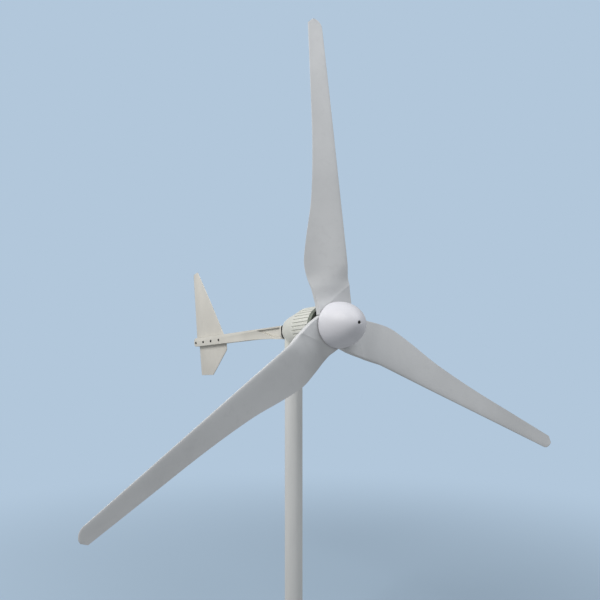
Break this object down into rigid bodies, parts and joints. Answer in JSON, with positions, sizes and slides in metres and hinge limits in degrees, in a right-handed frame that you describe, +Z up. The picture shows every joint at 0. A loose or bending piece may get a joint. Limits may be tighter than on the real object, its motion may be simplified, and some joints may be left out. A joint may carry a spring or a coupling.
{
  "type": "small wind turbine",
  "caption": "Small horizontal-axis wind turbine with twisted blades, domed nose cone, finned generator housing, tail arm and fin, free to yaw on the flanged top section of its mast.",
  "frame": {"origin": "centre of the mast flange's underside, on the yaw axis", "axes": "+Z up along the mast and yaw axis, -Y towards the nose cone, +Y towards the tail"},
  "size_m": [1.6779, 1.309, 2.0896],
  "materials": {
    "blade_plastic": "satin white moulded glass-filled plastic",
    "nose_plastic": "semi-gloss white moulded plastic",
    "housing_paint": "satin off-white powder coat on cast aluminium",
    "tail_paint": "satin off-white powder coat on cast aluminium",
    "fin_paint": "satin warm-white coated sheet",
    "mast_paint": "satin light grey coat on steel pipe",
    "bare_casting": "bare cast aluminium",
    "machined_steel": "machined",
    "laminated_steel": "laminated",
    "zinc_bolts": "zinc plated",
    "dark_bolts": "black oxide",
    "copper_alloy": "bare copper",
    "magnet_steel": "nickel plated",
    "black_rubber": "matt",
    "black_plastic": "moulded"
  },
  "bodies": {
    "mast": {"base_flange": "mast_paint", "mast_pipe": "mast_paint", "yaw_spindle": "machined_steel", "spindle_bolt_1": "zinc_bolts", "spindle_bolt_2": "zinc_bolts", "yaw_seal": "black_rubber", "yaw_lock_nut": "machined_steel", "slip_ring_drum": "black_plastic", "slip_ring_band_1": "copper_alloy", "slip_ring_band_2": "copper_alloy", "slip_ring_band_3": "copper_alloy"},
    "nacelle": {"generator_housing": "housing_paint", "front_shield": "bare_casting", "shield_screw_1": "dark_bolts", "shield_screw_2": "dark_bolts", "shield_screw_3": "dark_bolts", "shield_screw_4": "dark_bolts", "front_bearing": "machined_steel", "rear_bearing": "machined_steel", "shaft_seal": "black_rubber", "stator_core": "laminated_steel", "stator_winding_front": "copper_alloy", "stator_winding_rear": "copper_alloy", "yaw_bearing_lower": "machined_steel", "yaw_bearing_upper": "machined_steel", "bearing_spacer": "machined_steel", "brush_block": "black_plastic", "tail_gasket": "black_rubber", "tail_arm": "tail_paint", "tail_arm_bolt_1": "zinc_bolts", "tail_arm_bolt_2": "zinc_bolts", "tail_arm_bolt_3": "zinc_bolts", "tail_arm_bolt_4": "zinc_bolts", "tail_fin": "fin_paint", "fin_backing_strip": "zinc_bolts", "fin_bolt_1": "dark_bolts", "fin_bolt_2": "dark_bolts", "fin_bolt_3": "dark_bolts", "fin_bolt_4": "dark_bolts"},
    "rotor": {"main_shaft": "machined_steel", "rotor_drum": "laminated_steel", "magnet_ring": "magnet_steel", "hub_plate": "bare_casting", "hub_clamp_plate": "machined_steel", "blade_1": "blade_plastic", "blade_2": "blade_plastic", "blade_3": "blade_plastic", "blade_bolt_1": "zinc_bolts", "blade_bolt_2": "zinc_bolts", "blade_bolt_3": "zinc_bolts", "blade_bolt_4": "zinc_bolts", "blade_bolt_5": "zinc_bolts", "blade_bolt_6": "zinc_bolts", "shaft_washer": "zinc_bolts", "shaft_nut": "zinc_bolts", "nose_standoff": "zinc_bolts", "nose_cone": "nose_plastic", "nose_screw": "dark_bolts"}
  },
  "joints": [
    {"name": "yaw", "type": "hinge", "parent": "mast", "child": "nacelle", "pos_m": [0, 0, 1.1], "axis": [0, 0, 1], "continuous": true},
    {"name": "rotor_spin", "type": "hinge", "parent": "nacelle", "child": "rotor", "pos_m": [0, -0.26698, 1.12336], "axis": [0, 0.9962, -0.0872], "continuous": true}
  ]
}
